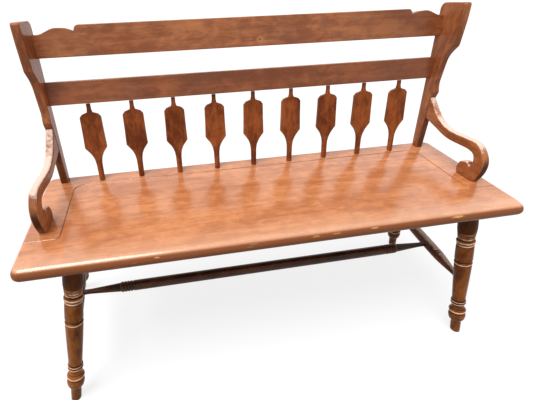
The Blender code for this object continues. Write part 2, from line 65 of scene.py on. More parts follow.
CLEARANCE = 0.0003          # left between pieces that touch
TINY = 1e-5                 # points closer than this are one point


def place(x, u, height):
    """World point from x, the distance back from the seat's front line and the height."""
    return Vector((x, SEAT_FRONT + u, height))


def seat_point(x, u, v=0.0):
    """World point from x, u and the height above the seat."""
    return place(x, u, SEAT_TOP + v)


def new_piece(name, add, **size):
    """Add a primitive with nothing else selected, and go into edit mode on it."""
    if bpy.context.object and bpy.context.object.mode != "OBJECT":
        bpy.ops.object.mode_set(mode="OBJECT")
    bpy.ops.object.select_all(action="DESELECT")
    add(**size)
    piece = bpy.context.object
    piece.name = name
    piece.data.name = name
    bpy.ops.object.mode_set(mode="EDIT")
    return piece


def choose(piece, kind, wanted):
    """Select the vertices, edges or faces of the piece in edit mode for which wanted is true."""
    bpy.ops.mesh.select_mode(type={"vertices": "VERT", "edges": "EDGE", "polygons": "FACE"}[kind])
    bpy.ops.mesh.select_all(action="DESELECT")
    bpy.ops.object.mode_set(mode="OBJECT")
    for part in getattr(piece.data, kind):
        part.select = bool(wanted(part))
    bpy.ops.object.mode_set(mode="EDIT")


def leave_edit():
    """Turn every face outwards and leave edit mode."""
    bpy.ops.mesh.select_all(action="SELECT")
    bpy.ops.mesh.normals_make_consistent(inside=False)
    bpy.ops.object.mode_set(mode="OBJECT")


def pick(piece):
    """Select this piece alone."""
    bpy.ops.object.select_all(action="DESELECT")
    piece.select_set(True)
    bpy.context.view_layer.objects.active = piece


def fix(piece):
    """Put the piece's place and turn into its mesh."""
    pick(piece)
    bpy.ops.object.transform_apply(location=True, rotation=True, scale=True)


def modify(piece, kind, **settings):
    """Add a modifier and apply it."""
    bpy.context.view_layer.objects.active = piece
    change = piece.modifiers.new(kind.lower(), kind)
    for name, value in settings.items():
        setattr(change, name, value)
    bpy.ops.object.modifier_apply(modifier=change.name)


def smooth(piece, angle=32, flat_faces=True):
    """Shade curves as curves, and keep flat faces flat right up to their eased edges."""
    pick(piece)
    bpy.ops.object.shade_smooth_by_angle(angle=math.radians(angle))
    if flat_faces:
        modify(piece, "WEIGHTED_NORMAL", mode="FACE_AREA", keep_sharp=True)


def mark_wear_and_light(piece, amount):
    """Store how rubbed or painted pale as a highlight (above nothing), or how deep in a groove or painted
    dark as shade (below nothing), each point is.
    """
    wear_and_painted_light = piece.data.attributes.new("wear_and_painted_light", "FLOAT", "POINT")
    for vertex, normal in zip(piece.data.vertices, piece.data.vertex_normals):
        wear_and_painted_light.data[vertex.index].value = amount(vertex.co, normal.vector)


def hand_over(piece, finish, node):
    """Finish a piece and let it stand for its frame node."""
    piece.data.materials.clear()
    piece.data.materials.append(finish)
    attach(piece, "root")
    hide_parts(node)


class Line:
    """One socket of a finish. Sums written with it add their Math nodes."""

    def __init__(self, tree, socket=None):
        self.tree = tree
        self.socket = socket

    def node(self, kind, settings=None, inputs=None, output=0):
        """Add a node: its settings first, then the values or links of its sockets."""
        made = self.tree.nodes.new(kind)
        for name, value in (settings or {}).items():
            setattr(made, name, value)
        for name, value in (inputs or {}).items():
            if isinstance(value, Line):
                self.tree.links.new(value.socket, made.inputs[name])
            else:
                made.inputs[name].default_value = value
        return Line(self.tree, made.outputs[output])

    def maths(self, operation, *values):
        """A Math node on these values."""
        return self.node("ShaderNodeMath", {"operation": operation}, dict(enumerate(values)))

    def __add__(self, other):
        return self.maths("ADD", self, other)

    __radd__ = __add__

    def __sub__(self, other):
        return self.maths("SUBTRACT", self, other)

    def __rsub__(self, other):
        return self.maths("SUBTRACT", other, self)

    def __mul__(self, other):
        return self.maths("MULTIPLY", self, other)

    __rmul__ = __mul__

    def between(self, low, high):
        """Nothing below low, one above high, and a soft step between them."""
        return self.node("ShaderNodeMapRange", {"interpolation_type": "SMOOTHSTEP"},
                         {"Value": self, "From Min": low, "From Max": high})

    def noise(self, scale, detail=2.0, roughness=0.5, distortion=0.0):
        """Noise over this position."""
        return self.node("ShaderNodeTexNoise", None,
                         {"Vector": self, "Scale": scale, "Detail": detail, "Roughness": roughness,
                          "Distortion": distortion})

    def axis(self, letter):
        """One coordinate of this position."""
        return self.node("ShaderNodeSeparateXYZ", None, {"Vector": self}, output=letter)

    def length(self):
        """How far this position is from nothing."""
        return self.node("ShaderNodeVectorMath", {"operation": "LENGTH"}, {0: self}, output="Value")

    def stretched(self, scale, turn=(0, 0, 0), move=(0, 0, 0)):
        """This position, turned, scaled and moved."""
        return self.node("ShaderNodeMapping", None,
                         {"Vector": self, "Scale": scale, "Rotation": turn, "Location": move})

    def colour(self, below, above):
        """Colour that goes from one to the other as this mask goes from nothing to one."""
        return self.node("ShaderNodeMix", {"data_type": "RGBA"}, {0: self, 6: below, 7: above}, output=2)


def rgb(red, green, blue):
    """Opaque colour."""
    return (red, green, blue, 1.0)


GRAIN_STRETCH = 0.06        # how much slower the grain changes along the wood than across it
PATCH_STRETCH = 0.60        # and the patches in its stain
LACQUER_ROUGHNESS = 0.18
# dark colour of dirt in grooves, also used for painted shade
DIRT_AND_SHADE = rgb(0.030, 0.010, 0.004)


def stained_maple(name, along, light, dark, worn_and_highlit, turn=(0, 0, 0), gloss=0.2, figure=1.7, shine=0.3,
                  coat=0.0, coat_ior=1.5, extra=None):
    """Maple, stained and lacquered. The grain runs along axis 0, 1 or 2 after the turn.

    The coat is its weight, or a function from the position to it. The extra marks are a function
    of the position, colour, roughness and height that gives the last three back.
    """
    finish = bpy.data.materials.new(name)
    finish.use_nodes = True
    tree = finish.node_tree
    shader = tree.nodes["Principled BSDF"]
    start = Line(tree)
    spot = start.node("ShaderNodeTexCoord", output="Object")
    wear_and_painted_light = start.node("ShaderNodeAttribute", {"attribute_name": "wear_and_painted_light"}, output="Fac")
    squeeze = [1.0, 1.0, 1.0]
    squeeze[along] = GRAIN_STRETCH
    fibre = spot.stretched(squeeze, turn)
    squeeze[along] = PATCH_STRETCH
    patch = spot.stretched(squeeze, turn)

    # stain taken up unevenly: broad clouds, mottled figure, long streaks, short dark pores
    clouds = patch.noise(9.0, 2.0, 0.5, 0.4).between(0.32, 0.70)
    mottle = patch.noise(46.0, 3.0, 0.6, 0.6).between(0.30, 0.72)
    streaks = fibre.noise(58.0, 4.0, 0.62, 0.8).between(0.34, 0.68)
    lines = fibre.noise(420.0, 2.0, 0.5).between(0.40, 0.66)
    pores = fibre.noise(900.0, 1.0, 0.4).between(0.66, 0.74)
    mixed = clouds * 0.28 + mottle * 0.34 + streaks * 0.26 + lines * 0.12
    tone = ((mixed - 0.5) * figure + 0.5).between(0.0, 1.0)
    wood = tone.colour(dark, light)
    wood = (pores * 0.30).colour(wood, dark)

    # the lacquer is rubbed through in places on the high edges and holds dirt in the low ones; the same
    # masks also paint highlights pale and paint shade dark
    breaks = spot.noise(95.0, 4.0, 0.65)
    rubbed_and_highlit = (wear_and_painted_light + (breaks - 0.5) * 1.1).between(0.55, 1.05)
    darkening = (0.0 - wear_and_painted_light).between(0.10, 0.75)
    wood = rubbed_and_highlit.colour(wood, worn_and_highlit)
    wood = darkening.colour(wood, DIRT_AND_SHADE)
    smudge = spot.noise(14.0, 3.0, 0.6).between(0.35, 0.75)
    rough = smudge * 0.10 + rubbed_and_highlit * 0.22 + darkening * 0.25 + gloss
    height = lines * 0.35 + streaks * 0.4 - pores * 0.8
    if extra:
        wood, rough, height = extra(spot, wood, rough, height)

    bump = start.node("ShaderNodeBump", None, {"Strength": 0.22, "Distance": 0.00035, "Height": height})
    tree.links.new(wood.socket, shader.inputs["Base Color"])
    tree.links.new(rough.socket, shader.inputs["Roughness"])
    tree.links.new(bump.socket, shader.inputs["Normal"])
    shader.inputs["IOR"].default_value = 1.5
    shader.inputs["Specular IOR Level"].default_value = shine
    if callable(coat):
        tree.links.new(coat(spot).socket, shader.inputs["Coat Weight"])
    else:
        shader.inputs["Coat Weight"].default_value = coat
    shader.inputs["Coat Roughness"].default_value = LACQUER_ROUGHNESS
    shader.inputs["Coat IOR"].default_value = coat_ior
    return finish


# painted sheen: the sky's reflection on the front of the seat
PAINTED_SHEEN = rgb(0.95, 0.54, 0.34)
# painted shade on the rolled edges below the top, and darker painted shade along the lower edge
EDGE_SHADE = rgb(0.24, 0.064, 0.017)
LOW_EDGE_SHADE = rgb(0.07, 0.020, 0.006)
BARE_MAPLE = rgb(0.74, 0.40, 0.12)
NICK = rgb(0.80, 0.48, 0.22)
HAIR_SCRATCH = rgb(0.78, 0.46, 0.24)
CHIPS = (                   # x, u, v, half length and half width of each chip
    (0.396, 0.0003, -0.0070, 0.016, 0.0032), (0.190, 0.0003, -0.0070, 0.010, 0.0018),
    (0.100, 0.0000, -0.0080, 0.016, 0.0011), (0.052, -0.0005, -0.0090, 0.012, 0.0010),
    (-0.292, 0.0000, -0.0080, 0.007, 0.0017), (-0.349, 0.0245, 0.0000, 0.004, 0.0030),
    (-0.104, 0.0780, 0.0000, 0.003, 0.0022),
)


def seat_lacquer(spot):
    """The top keeps its thick lacquer. It thins out where the edges roll over."""
    return spot.axis("Z").between(SEAT_TOP - 0.006, SEAT_TOP - 0.001)


def seat_marks(spot, wood, rough, height):
    """Painted sheen of the sky along the front, painted shade on the rolled edges below the top and darker
    still along the lower edge, with chips, nicks and fine scratches.
    """
    # painted reflection of the sky, paler towards the front of the top
    front_sheen = 1 - spot.axis("Y").between(SEAT_FRONT + 0.008, SEAT_FRONT + 0.070)
    # painted shade on the front, ends and back below the top, stronger towards the underside
    edge = 1 - spot.axis("Z").between(SEAT_TOP - 0.0070, SEAT_TOP - 0.0020)
    low_edge = 1 - spot.axis("Z").between(SEAT_UNDERSIDE + 0.002, SEAT_UNDERSIDE + 0.018)
    wood = (front_sheen * 0.42).colour(wood, PAINTED_SHEEN)
    wood = (edge * 0.90).colour(wood, EDGE_SHADE)
    wood = (low_edge * 0.60).colour(wood, LOW_EDGE_SHADE)
    ragged = spot.noise(330.0, 3.0, 0.7)
    for x, u, v, length, width in CHIPS:
        middle = seat_point(x, u, v)
        away = spot.stretched((1 / length, 1 / width, 1 / width),
                              move=(-middle.x / length, -middle.y / width, -middle.z / width))
        chip = 1 - (away.length() + (ragged - 0.5) * 1.8).between(0.55, 1.0)
        wood = chip.colour(wood, BARE_MAPLE)
        rough = rough + chip * 0.3
        height = height - chip * 1.2
    nicks = spot.stretched((0.35, 1.0, 1.0)).noise(210.0, 2.0, 0.5).between(0.765, 0.790)
    hairs = spot.stretched((0.10, 1.0, 1.0), (0, 0, 0.35)).noise(170.0, 1.0, 0.4).between(0.735, 0.750)
    wood = (nicks * 0.75).colour(wood, NICK)
    wood = (hairs * 0.40).colour(wood, HAIR_SCRATCH)
    return wood, rough + nicks * 0.2, height - nicks * 0.6


# the plan is drawn at the underside and pulled up in thin steps, which roll each edge over
seat = new_piece("seat_plank", bpy.ops.mesh.primitive_plane_add, size=1, location=(0, 0, 0))


def seat_slice(angle):
    """Half width, front u, back u and height of the plank where its edges have turned by angle."""
    drawn_in = 1 - math.cos(angle)
    below = 1 if angle < 0 else 0
    reach = SEAT_THICKNESS - FULLEST if below else FULLEST
    return (SEAT_HALF_WIDTH - END_ROUND[below] * drawn_in, NOSE + NOSE_ROUND[below] * drawn_in,
            SEAT_DEPTH - BACK_ROUND[below] * drawn_in, SEAT_TOP - FULLEST + reach * math.sin(angle))


def fit_slice(before, after):
    """Scale and move what is selected from one slice of the plank to the next."""
    half, front, back, height = after
    old_half, old_front, old_back, old_height = before
    bpy.ops.transform.resize(value=(half / old_half, (back - front) / (old_back - old_front), 1),
                             center_override=place(0, old_front, old_height))
    bpy.ops.transform.translate(value=(0, front - old_front, height - old_height))


EDGE_STEPS = 20
angles = [math.radians(-90 + 180 * step / EDGE_STEPS) for step in range(EDGE_STEPS + 1)]
bpy.ops.mesh.select_all(action="SELECT")
plane = (0.5, -SEAT_FRONT - 0.5, -SEAT_FRONT + 0.5, 0.0)       # one metre square, as it is added
fit_slice(plane, seat_slice(angles[0]))
bpy.ops.mesh.bevel(offset=SEAT_CORNER, segments=6, affect="VERTICES")
for before, after in zip(angles, angles[1:]):
    bpy.ops.mesh.extrude_region_move()
    fit_slice(seat_slice(before), seat_slice(after))
bpy.ops.mesh.inset(thickness=0.002)
leave_edit()

def same(one, other):
    """Whether two measures are equal but for rounding."""
    return abs(one - other) < TINY


# the groove is cut by a round bit that follows a line with rounded corners
bit = new_piece("groove_bit", bpy.ops.mesh.primitive_plane_add, size=2, location=(0, 0, 0))
bpy.ops.mesh.select_all(action="SELECT")
bpy.ops.transform.resize(value=(GROOVE_SIDE, (GROOVE_BACK - GROOVE_FRONT) / 2, 1),
                         center_override=(0, 0, 0))
bpy.ops.transform.translate(value=seat_point(0, (GROOVE_BACK + GROOVE_FRONT) / 2))
bpy.ops.mesh.delete(type="ONLY_FACE")
groove_front_y = SEAT_FRONT + GROOVE_FRONT
groove_back_y = SEAT_FRONT + GROOVE_BACK
choose(bit, "edges", lambda e: all(same(bit.data.vertices[v].co.y, groove_front_y) for v in e.vertices))
bpy.ops.mesh.delete(type="EDGE")
OVERRUN = 0.006             # how far the bit runs out past the ends of the seat
for side in (-1, 1):
    choose(bit, "vertices", lambda v: same(v.co.y, groove_front_y) and same(v.co.x, side * GROOVE_SIDE))
    bpy.ops.mesh.extrude_region_move(
        TRANSFORM_OT_translate={"value": (side * (SEAT_HALF_WIDTH + OVERRUN - GROOVE_SIDE), 0, 0)})
for corner_y, radius in ((groove_back_y, GROOVE_BACK_CORNER), (groove_front_y, GROOVE_FRONT_CORNER)):
    choose(bit, "vertices", lambda v: same(abs(v.co.x), GROOVE_SIDE) and same(v.co.y, corner_y))
    bpy.ops.mesh.bevel(offset=radius, segments=8, affect="VERTICES")
bpy.ops.object.mode_set(mode="OBJECT")
bpy.ops.object.convert(target="CURVE")
bit = bpy.context.object
bit.data.dimensions = "3D"
bit.data.bevel_depth = GROOVE_RADIUS
bit.data.bevel_resolution = 3
bit.data.use_fill_caps = True
bpy.ops.object.convert(target="MESH")
bit = bpy.context.object
modify(seat, "BOOLEAN", object=bit, operation="DIFFERENCE", solver="EXACT")
bpy.data.objects.remove(bit, do_unlink=True)
smooth(seat)


ROLL_OVER = 0.935           # how upright the surface is where it starts to roll over
ROLL_SPREAD = 0.065


def seat_wear_and_highlight(spot, normal):
    """Rubbed where the top rolls over, with a painted highlight there as well, and dirty in the groove."""
    inside = abs(spot.x) < SEAT_HALF_WIDTH - 0.02 and spot.y > groove_front_y - 0.005
    if inside and spot.z > SEAT_TOP - 0.003 and spot.y < SEAT_FRONT + SEAT_DEPTH - 0.02:
        return -0.45 if spot.z < SEAT_TOP - GROOVE_RADIUS * 0.3 else 0.0
    # the pale band where the top rolls over is partly wear and partly a painted highlight
    return max(0.0, 1 - abs(normal.z - ROLL_OVER) / ROLL_SPREAD)


mark_wear_and_light(seat, seat_wear_and_highlight)
seat_maple = stained_maple("seat_maple", 0, rgb(0.80, 0.315, 0.125), rgb(0.50, 0.160, 0.052),
                           rgb(0.96, 0.64, 0.45), gloss=0.26, figure=1.2, shine=0.1,
                           coat=seat_lacquer, coat_ior=1.75, extra=seat_marks)
hand_over(seat, seat_maple, "seat")


# ---------------------------------------------------------------------------------------------
# Legs. Four maple turnings, splayed outwards, each let into the underside of the seat: a barrel,
# three beads, a fat ring, a second barrel, a collar, a long taper, two thin rings, a sharp ring, a
# ball and a plain round foot. Foot and shoulder are cut level after turning.
# ---------------------------------------------------------------------------------------------
ARC_STEP = math.radians(9)
TURNED_SIDES = 56


def rounded(corners, snug=False):
    """Outline through (a, b, radius) corners. Snug arcs leave their neighbours room."""
    points = []
    for index, (a, b, radius) in enumerate(corners):
        corner = Vector((a, b))
        last = Vector(corners[index - 1][:2]) - corner
        after = Vector(corners[(index + 1) % len(corners)][:2]) - corner
        opening = last.angle(after)
        if radius == 0 or opening > math.pi - 0.001:
            points.append(corner)
            continue
        reach = radius / math.tan(opening / 2)
        if snug:
            reach = min(reach, 0.48 * min(last.length, after.length))
            radius = reach * math.tan(opening / 2)
        middle = (last.normalized() + after.normalized()).normalized()
        centre = corner + middle * radius / math.sin(opening / 2)
        first = corner + last.normalized() * reach - centre
        final = corner + after.normalized() * reach - centre
        start = math.atan2(first.y, first.x)
        turn = (math.atan2(final.y, final.x) - start + math.pi) % math.tau - math.pi
        steps = max(2, math.ceil(abs(turn) / ARC_STEP))
        for step in range(steps + 1):
            angle = start + turn * step / steps
            points.append(centre + radius * Vector((math.cos(angle), math.sin(angle))))
    return points


def draw_line(name, points):
    """Draw an open line of edges from a single vertex, point by point."""
    piece = new_piece(name, bpy.ops.mesh.primitive_plane_add, size=0.01, location=(0, 0, 0))
    bpy.ops.mesh.select_all(action="SELECT")
    bpy.ops.mesh.merge(type="CENTER")
    bpy.ops.transform.translate(value=points[0])
    for here, there in zip(points, points[1:]):
        bpy.ops.mesh.extrude_region_move(TRANSFORM_OT_translate={"value": there - here})
    return piece


def turned(name, profile, start, end, worn_and_highlit=(), shaded_above=math.inf, top_highlight=0.0):
    """Turn a piece from its (distance from the start, radius, rounding) profile.

    The worn rings are (distance from the start, half width, how rubbed), pale from wear and a painted
    highlight.
    Painted shade darkens the piece past the shaded distance, and the top highlight paints the upper side
    pale.
    """
    low, high = profile[0][0], profile[-1][0]
    line = rounded([(low, 0, 0)] + list(profile) + [(high, 0, 0)], snug=True)
    piece = draw_line(name, [Vector((r, 0, h)) for h, r in line])
    bpy.ops.mesh.select_all(action="SELECT")
    bpy.ops.mesh.spin(steps=TURNED_SIDES, angle=math.tau, center=(0, 0, 0), axis=(0, 0, 1))
    bpy.ops.mesh.select_all(action="SELECT")
    bpy.ops.mesh.remove_doubles(threshold=TINY)
    leave_edit()
    radii = [(h, r) for h, r in line[1:-1]]
    lie = (end - start).to_track_quat("Z", "Y")
    upward = lie.inverted() @ Vector((0, 0, 1))

    def turning_wear_and_light(spot, normal):
        rubbed_and_highlit = [amount * max(0.0, 1 - ((spot.z - ring) / half) ** 2) for ring, half, amount in worn_and_highlit]
        near = [other for h, other in radii if abs(h - spot.z) < 0.005]
        span = max(near) - min(near) if near else 0.0
        depth = (max(near) - math.hypot(spot.x, spot.y)) / span if span > 0.0007 else 0.0
        darkening = max(0.0, depth - 0.55) * 1.6 * min(1.0, span / 0.0016)
        # painted shade on the upper part of a leg, under the seat
        painted_shade = 0.52 if spot.z > shaded_above else 0.0
        # painted highlight along the upper side of the piece
        top = top_highlight * max(0.0, normal.dot(upward)) ** 2
        return max(rubbed_and_highlit, default=0.0) + top - darkening - painted_shade

    mark_wear_and_light(piece, turning_wear_and_light)
    smooth(piece, angle=48, flat_faces=False)
    piece.rotation_mode = "QUATERNION"
    piece.location = start
    piece.rotation_quaternion = lie
    fix(piece)
    return piece


FRONT_LEG_TOP = (0.4703, 0.0393)    # (x, u) where the axis meets the underside of the seat
FRONT_LEG_FOOT = (0.5525, -0.0266)  # and the floor
REAR_LEG_TOP = (0.4803, 0.3042)
REAR_LEG_FOOT = (0.591, 0.357)
LEG_TURNING = (             # (distance from the floor, radius, rounding)
    (-0.0200, 0.0120, 0), (0.0050, 0.0125, 0.05), (0.0260, 0.0129, 0.05), (0.0380, 0.0123, 0.004),
    (0.0435, 0.0138, 0.006), (0.0510, 0.0196, 0.010), (0.0635, 0.0214, 0.0100), (0.0756, 0.0184, 0.0008),
    (0.0775, 0.0197, 0.0010), (0.0818, 0.0213, 0.0012), (0.0862, 0.0192, 0.003), (0.0905, 0.0162, 0.008),
    (0.0985, 0.0152, 0.012), (0.1062, 0.0162, 0), (0.1074, 0.0172, 0.0008), (0.1102, 0.0186, 0.0014),
    (0.1128, 0.0162, 0.0004), (0.1143, 0.0160, 0.002), (0.1156, 0.0161, 0.0004), (0.1182, 0.0185, 0.0014),
    (0.1208, 0.0163, 0.0010), (0.1260, 0.0161, 0.10), (0.1650, 0.0177, 0.5), (0.2000, 0.0190, 0.4),
    (0.2300, 0.0199, 0.1), (0.2455, 0.0201, 0.0030), (0.2474, 0.0182, 0), (0.2480, 0.0186, 0.0004),
    (0.2492, 0.0202, 0.0018), (0.2524, 0.0208, 0.0040), (0.2558, 0.0200, 0.0026), (0.2580, 0.0168, 0.0007),
    (0.2608, 0.0190, 0.0010), (0.2640, 0.0206, 0.006), (0.2860, 0.0204, 0.3), (0.3050, 0.0199, 0.006),
    (0.3092, 0.0184, 0.0008), (0.3106, 0.0195, 0.0012), (0.3142, 0.0196, 0.0012), (0.3154, 0.0173, 0.0004),
    (0.3170, 0.0202, 0.0022), (0.3206, 0.0214, 0.0040), (0.3242, 0.0200, 0.0030), (0.3260, 0.0160, 0.0012),
    (0.3290, 0.0160, 0.0010), (0.3304, 0.0188, 0.0010), (0.3354, 0.0191, 0.0012), (0.3366, 0.0173, 0.0003),
    (0.3378, 0.0196, 0.0010), (0.3422, 0.0199, 0.0012), (0.3434, 0.0180, 0.0003), (0.3446, 0.0203, 0.0010),
    (0.3494, 0.0206, 0.0012), (0.3508, 0.0186, 0.0004), (0.3522, 0.0208, 0.0012), (0.3570, 0.0215, 0.010),
    (0.3680, 0.0216, 0.10), (0.3850, 0.0210, 0.3), (0.3990, 0.0205, 0), (0.4250, 0.0203, 0),
)


def leg_axis(side, top, foot):
    """Ends of a leg's axis: where it meets the underside of the seat, and the floor."""
    return place(side * top[0], top[1], SEAT_UNDERSIDE), place(side * foot[0], foot[1], 0)


# the pale rings are partly wear and partly painted highlights on the ring crests
LEG_WORN_AND_HIGHLIT = (                # (distance from the floor, half width, how rubbed) of each pale ring
    (0.0640, 0.0060, 0.55), (0.0820, 0.0046, 1.20), (0.1102, 0.0024, 0.95), (0.1182, 0.0026, 1.05),
    (0.2524, 0.0034, 1.10), (0.3124, 0.0036, 1.15), (0.3216, 0.0034, 1.00), (0.3330, 0.0038, 1.10),
    (0.3400, 0.0034, 0.95), (0.3470, 0.0034, 0.90),
)
# painted shade darkens the legs above this height, under the seat
LEG_SHADED_ABOVE = 0.352
# the pale colour stands for worn rings and the painted highlights on them
leg_maple = stained_maple("leg_maple", 2, rgb(0.380, 0.118, 0.024), rgb(0.120, 0.028, 0.006),
                          rgb(0.95, 0.64, 0.46), gloss=0.18, figure=1.1, shine=0.06)
leg_axes = {}
for row, top, foot in (("front", FRONT_LEG_TOP, FRONT_LEG_FOOT), ("rear", REAR_LEG_TOP, REAR_LEG_FOOT)):
    for hand, side in (("left", -1), ("right", 1)):
        axis_top, axis_foot = leg_axis(side, top, foot)
        stretch = (axis_top - axis_foot).length / SEAT_UNDERSIDE
        turning = [(h * stretch, r, ease) for h, r, ease in LEG_TURNING]
        worn_and_highlit = [(h * stretch, half, amount) for h, half, amount in LEG_WORN_AND_HIGHLIT]
        node = f"{row}_{hand}_leg"
        leg = turned(f"{node}_turning", turning, axis_foot, axis_top, worn_and_highlit, LEG_SHADED_ABOVE * stretch)
        bpy.ops.object.mode_set(mode="EDIT")
        for height, outward in ((SEAT_UNDERSIDE - CLEARANCE, 1), (0.0, -1)):
            bpy.ops.mesh.select_all(action="SELECT")
            bpy.ops.mesh.bisect(plane_co=(0, 0, height), plane_no=(0, 0, outward), use_fill=True,
                                clear_outer=True)
        leave_edit()
        hand_over(leg, leg_maple, node)
        leg_axes[f"{row}_{hand}"] = (axis_top, axis_foot)


# ---------------------------------------------------------------------------------------------
# Stretchers. Two maple turnings run from the front leg to the rear leg at each end, fat in the
# middle with incised rings, and a long one joins them under the seat with a row of beads near each
# end. All are let into their neighbours with round tenons and glued.
# ---------------------------------------------------------------------------------------------
STRETCHER_HEIGHT = 0.1880
STRETCHER_INSET = 0.006     # how far short of the other turning's axis a tenon stops
TENON_RADIUS = 0.0070
CENTRE_STRETCHER = 0.156    # u of the centre stretcher
SIDE_HALF = (               # (distance from the middle, radius, rounding)
    (0.030, 0.0150, 0.5), (0.0565, 0.0146, 0.0030), (0.0595, 0.0130, 0.0008), (0.0618, 0.0145, 0.0015),
    (0.0645, 0.0145, 0.0015), (0.0668, 0.0130, 0.0006), (0.0692, 0.0142, 0.0015), (0.0760, 0.0138, 0.0050),
    (0.1000, 0.0113, 0.2), (0.1250, 0.0082, 0.1), (0.1380, 0.0070, 0.05),
)
CENTRE_HALF = (             # with its four beads near the end
    (0.2000, 0.0147, 0), (0.3775, 0.0145, 0.0020), (0.3805, 0.0126, 0.0005), (0.3830, 0.0147, 0.0013),
    (0.3862, 0.0147, 0.0013), (0.3885, 0.0126, 0.0004), (0.3910, 0.0147, 0.0013), (0.3942, 0.0147, 0.0013),
    (0.3965, 0.0126, 0.0004), (0.3990, 0.0147, 0.0013), (0.4022, 0.0147, 0.0013), (0.4045, 0.0126, 0.0004),
    (0.4070, 0.0146, 0.0013), (0.4105, 0.0144, 0.0013), (0.4145, 0.0121, 0.0030), (0.4460, 0.0101, 0.2),
    (0.4820, 0.0077, 0.1), (0.4940, 0.0070, 0.05),
)


def both_ways(half, half_length):
    """Whole profile of a stretcher that is the same from its middle to both ends."""
    ended = list(half) + [(half_length, TENON_RADIUS, 0)]
    before = [(half_length - d, r, ease) for d, r, ease in reversed(ended)]
    return before + [(half_length + d, r, ease) for d, r, ease in ended]


def at_height(axis, height):
    """Point of a leg's axis at a height."""
    top, foot = axis
    return foot.lerp(top, height / top.z)


# the pale colour of the side stretchers shows only as the painted highlight along their tops
side_maple = stained_maple("side_stretcher_maple", 1, rgb(0.24, 0.070, 0.020), rgb(0.085, 0.022, 0.006),
                           rgb(0.84, 0.62, 0.50), gloss=0.20, shine=0.12)
centre_maple = stained_maple("centre_stretcher_maple", 0, rgb(0.15, 0.045, 0.016),
                             rgb(0.050, 0.014, 0.005), rgb(0.16, 0.060, 0.025), gloss=0.18, shine=0.2)
middles = []
for hand in ("left", "right"):
    front = at_height(leg_axes[f"front_{hand}"], STRETCHER_HEIGHT)
    rear = at_height(leg_axes[f"rear_{hand}"], STRETCHER_HEIGHT)
    along = (rear - front).normalized()
    start, end = front + along * STRETCHER_INSET, rear - along * STRETCHER_INSET
    profile = both_ways(SIDE_HALF, (end - start).length / 2)
    stretcher = turned(f"{hand}_stretcher_turning", profile, start, end, top_highlight=1.10)
    hand_over(stretcher, side_maple, f"{hand}_stretcher")
    middles.append(front.lerp(rear, (SEAT_FRONT + CENTRE_STRETCHER - front.y) / (rear.y - front.y)))
start = middles[0] + Vector((STRETCHER_INSET, 0, 0))
end = middles[1] - Vector((STRETCHER_INSET, 0, 0))
profile = both_ways(CENTRE_HALF, (end - start).length / 2)
stretcher = turned("centre_stretcher_turning", profile, start, end)
hand_over(stretcher, centre_maple, "centre_stretcher")


# ---------------------------------------------------------------------------------------------
# Arms. Each is sawn from a thick maple board in one sweep: down from the post, forwards along the
# top, over the nose and back under into a small scroll that stands on the seat. The edges of the
# top are well rounded for the hand. A screw up through the seat and one through the post hold it.
# ---------------------------------------------------------------------------------------------
POST_INSIDE = 0.518
BOARD_THICKNESS = 0.0195
ARM_EDGE = 0.0062
ARM_TOE_OUT = 0.045         # how much further out the arm stands for each metre forwards
ARM_JOINT = 0.336           # u where it meets the post
ARM_OUTLINE = (             # (u, v, rounding)
    (0.3392, 0.1505, 0), (0.2700, 0.0900, 0.120), (0.1430, 0.0975, 0.042), (0.1065, 0.0600, 0.050),
    (0.1075, 0.0250, 0.060), (0.1165, 0.0003, 0), (0.1700, 0.0003, 0), (0.1770, 0.0120, 0.020),
    (0.1740, 0.0350, 0.014), (0.1530, 0.0420, 0.010), (0.1430, 0.0320, 0), (0.1375, 0.0480, 0.024),
    (0.1470, 0.0670, 0.018), (0.1690, 0.0705, 0.060), (0.2400, 0.0675, 0.120), (0.3335, 0.0930, 0),
)


def sawn_board(name, outline, across, thickness):
    """Saw a board to its outline: draw it, fill it, and pull it out to its thickness."""
    piece = draw_line(name, outline)
    bpy.ops.mesh.select_all(action="SELECT")
    bpy.ops.mesh.edge_face_add()
    bpy.ops.mesh.extrude_region_move(TRANSFORM_OT_translate={"value": across * thickness})
    bpy.ops.mesh.select_all(action="SELECT")
    bpy.ops.mesh.remove_doubles(threshold=TINY)
    leave_edit()
    return piece


EDGE_SEGMENTS = 4


def ease_edges(piece, across, width, amount):
    """Round the long edges on both faces of a board, each by its amount of the width."""
    mesh = piece.data
    weights = mesh.attributes.new("bevel_weight_edge", "FLOAT", "EDGE")
    rims = {}
    for face in mesh.polygons:
        if abs(face.normal.dot(across)) < 0.5:
            for key in face.edge_keys:
                rims[key] = face.normal.copy()
    for edge in mesh.edges:
        run = mesh.vertices[edge.vertices[1]].co - mesh.vertices[edge.vertices[0]].co
        if abs(run.normalized().dot(across)) < 0.5:
            weights.data[edge.index].value = amount(rims[edge.key])
    modify(piece, "BEVEL", width=width, segments=EDGE_SEGMENTS, limit_method="WEIGHT",
           use_clamp_overlap=False, miter_outer="MITER_SHARP", profile=0.5)


def board_wear(across, strength):
    """Rubbed in the middle of each rounded edge."""
    def amount(spot, normal):
        lean = normal.dot(across) ** 2
        return strength * (4 * lean * (1 - lean)) ** 2
    return amount


ACROSS = Vector((1, 0, 0))
SHADED_BELOW = SEAT_TOP + 0.075
rubbed_edge = board_wear(ACROSS, 0.50)


def arm_wear_and_light(spot, normal):
    """Rubbed along the rounded edges, painted highlight over the top where light falls from above, and
    painted shade down the front of the nose.
    """
    # painted shade on surfaces that face forwards low on the nose; the top is painted pale as a highlight
    painted_shade = max(0.0, -normal.y) * (1 - abs(normal.x)) if spot.z < SHADED_BELOW else 0.0
    return rubbed_edge(spot, normal) + 1.20 * max(0.0, normal.z) ** 2 - 0.70 * painted_shade


